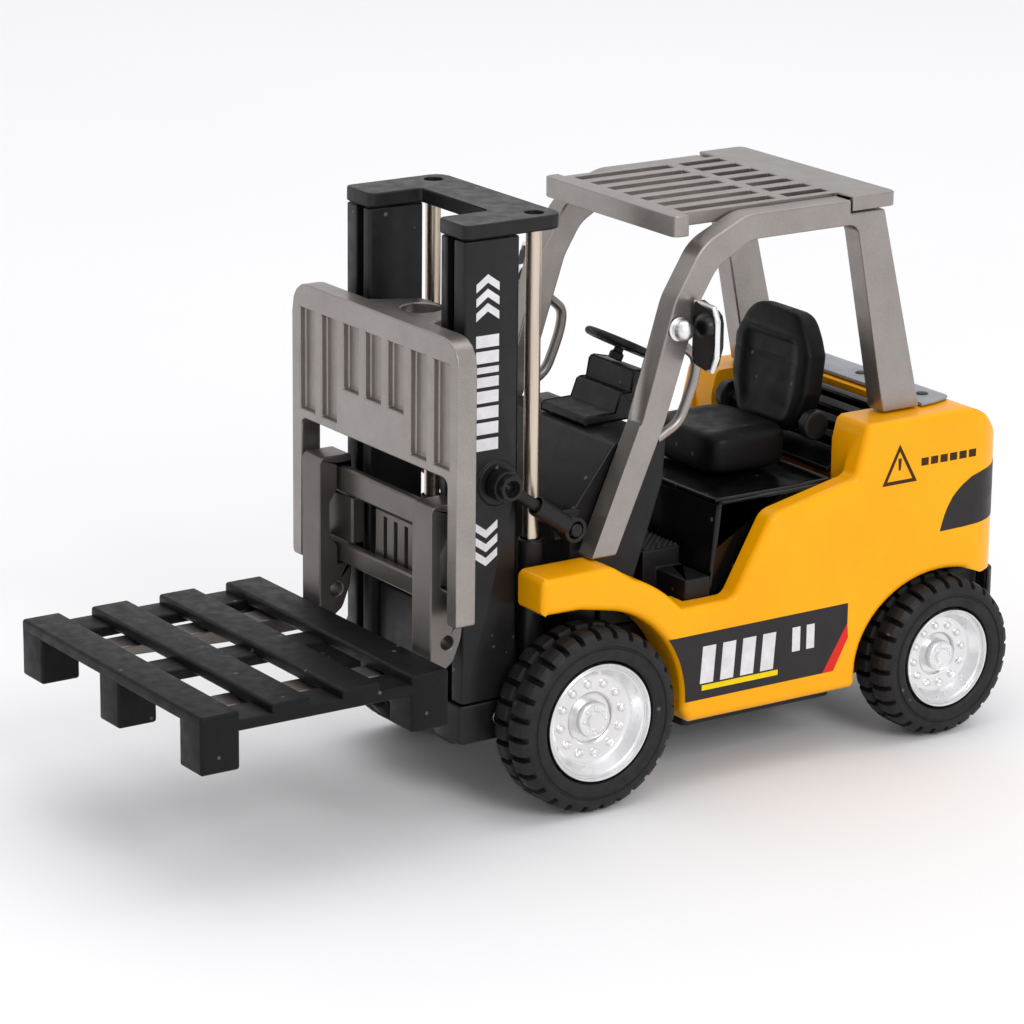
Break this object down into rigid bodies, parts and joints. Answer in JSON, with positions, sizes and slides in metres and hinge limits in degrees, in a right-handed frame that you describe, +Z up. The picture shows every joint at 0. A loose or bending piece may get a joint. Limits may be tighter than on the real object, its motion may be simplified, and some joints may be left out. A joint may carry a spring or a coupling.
{
  "type": "toy forklift",
  "caption": "Toy counterbalance forklift with a tilting mast, a sliding fork carriage, a slatted pallet on the forks, a grille-roofed open cab and rolling wheels.",
  "frame": {"origin": "centre of the whole object's length and width, on the plane that the wheels stand on", "axes": "-Y is the front of the truck, where the forks point; +X is the truck's left side; +Z is up"},
  "size_m": [0.0566, 0.159, 0.0952],
  "materials": {
    "yellow_paint": "glossy yellow enamel on a die-cast shell",
    "black_satin": "satin black moulded plastic",
    "black_gloss": "glossy black moulded plastic",
    "pewter_paint": "satin pewter metallic paint on moulded plastic",
    "gunmetal": "dark gunmetal metallic paint on moulded plastic",
    "chrome": "bright silver vacuum plating",
    "polished_steel": "polished steel rod",
    "rubber": "matt black rubber",
    "grey_plate": "satin grey plastic"
  },
  "bodies": {
    "truck": {"chassis": "black_satin", "rear_bumper": "black_satin", "tow_pin": "black_satin", "body_shell": "yellow_paint", "cab_floor": "black_satin", "engine_hood": "black_gloss", "cowl": "black_satin", "dash_console": "black_satin", "vent_panel": "black_gloss", "deck_plate": "grey_plate", "seat_base": "black_satin", "seat_cushion": "black_satin", "seat_back": "black_satin", "recline_shaft": "black_satin", "steering_column": "black_satin", "roof_grille": "pewter_paint", "guard_frame_left": "pewter_paint", "guard_frame_right": "pewter_paint", "grab_handle_left": "pewter_paint", "grab_handle_right": "pewter_paint", "mirror_stud_left": "chrome", "mirror_stud_right": "chrome", "mirror_left": "black_gloss", "mirror_right": "black_gloss"},
    "mast": {"mast_foot": "black_satin", "mast_pivot_pin": "polished_steel", "mast_cross_plate": "black_satin", "mast_top_plate": "black_satin", "mast_column_left": "black_satin", "mast_column_right": "black_satin", "tilt_bolt_left": "black_satin", "tilt_bolt_right": "black_satin", "lift_rod_left": "polished_steel", "lift_rod_right": "polished_steel", "lift_barrel_left": "black_satin", "lift_barrel_right": "black_satin"},
    "carriage": {"backrest": "pewter_paint", "fork_bar_upper": "gunmetal", "fork_bar_lower": "gunmetal", "carriage_block": "gunmetal", "carriage_plate_left": "gunmetal", "carriage_plate_right": "gunmetal"},
    "fork_left": {"fork_left": "gunmetal"},
    "fork_right": {"fork_right": "gunmetal"},
    "pallet": {"pallet": "black_satin"},
    "tilt_barrel_left": {"tilt_barrel_left": "black_satin"},
    "tilt_barrel_right": {"tilt_barrel_right": "black_satin"},
    "tilt_rod_left": {"tilt_rod_left": "black_satin"},
    "tilt_rod_right": {"tilt_rod_right": "black_satin"},
    "front_wheels": {"front_axle": "polished_steel", "front_rim_left": "chrome", "front_rim_right": "chrome", "front_tyre_left": "rubber", "front_tyre_right": "rubber"},
    "rear_wheels": {"rear_axle": "polished_steel", "rear_rim_left": "chrome", "rear_rim_right": "chrome", "rear_tyre_left": "rubber", "rear_tyre_right": "rubber"},
    "steering_wheel": {"steering_wheel": "black_satin"}
  },
  "joints": [
    {"name": "mast_tilt", "type": "hinge", "parent": "truck", "child": "mast", "pos_m": [0, -0.01875, 0.0152], "axis": [1, 0, 0], "range_deg": [-5, 3]},
    {"name": "carriage_lift", "type": "slide", "parent": "mast", "child": "carriage", "axis": [0, 0, 1], "range_m": [-0.02, 0.04]},
    {"name": "fork_left_shift", "type": "slide", "parent": "carriage", "child": "fork_left", "axis": [1, 0, 0], "range_m": [-0.004, 0.0018]},
    {"name": "fork_right_shift", "type": "slide", "parent": "carriage", "child": "fork_right", "axis": [-1, 0, 0], "range_m": [-0.004, 0.0018]},
    {"name": "pallet_lift_off", "type": "slide", "parent": "carriage", "child": "pallet", "axis": [0, 0, 1], "range_m": [0, 0.03]},
    {"name": "tilt_barrel_left_turn", "type": "hinge", "parent": "truck", "child": "tilt_barrel_left", "pos_m": [0.0192, -0.00735, 0.045], "axis": [1, 0, 0], "range_deg": [-8, 5]},
    {"name": "tilt_rod_left_slide", "type": "slide", "parent": "tilt_barrel_left", "child": "tilt_rod_left", "axis": [0, -0.821, 0.5709], "range_m": [-0.0028, 0.0017]},
    {"name": "tilt_barrel_right_turn", "type": "hinge", "parent": "truck", "child": "tilt_barrel_right", "pos_m": [-0.0192, -0.00735, 0.045], "axis": [1, 0, 0], "range_deg": [-8, 5]},
    {"name": "tilt_rod_right_slide", "type": "slide", "parent": "tilt_barrel_right", "child": "tilt_rod_right", "axis": [0, -0.821, 0.5709], "range_m": [-0.0028, 0.0017]},
    {"name": "front_wheels_turn", "type": "hinge", "parent": "truck", "child": "front_wheels", "pos_m": [0, -0.00675, 0.015], "axis": [1, 0, 0], "continuous": true},
    {"name": "rear_wheels_turn", "type": "hinge", "parent": "truck", "child": "rear_wheels", "pos_m": [0, 0.06335, 0.0134], "axis": [1, 0, 0], "continuous": true},
    {"name": "steering_turn", "type": "hinge", "parent": "truck", "child": "steering_wheel", "pos_m": [0, 0.01505, 0.0676], "axis": [0, 0.454, 0.891], "continuous": true}
  ],
  "couplings": [
    {"joint": "tilt_barrel_left_turn", "follows": "mast_tilt", "ratio": 1.55},
    {"joint": "tilt_rod_left_slide", "follows": "mast_tilt", "m_per_rad": 0.0307},
    {"joint": "tilt_barrel_right_turn", "follows": "mast_tilt", "ratio": 1.55},
    {"joint": "tilt_rod_right_slide", "follows": "mast_tilt", "m_per_rad": 0.0307}
  ]
}
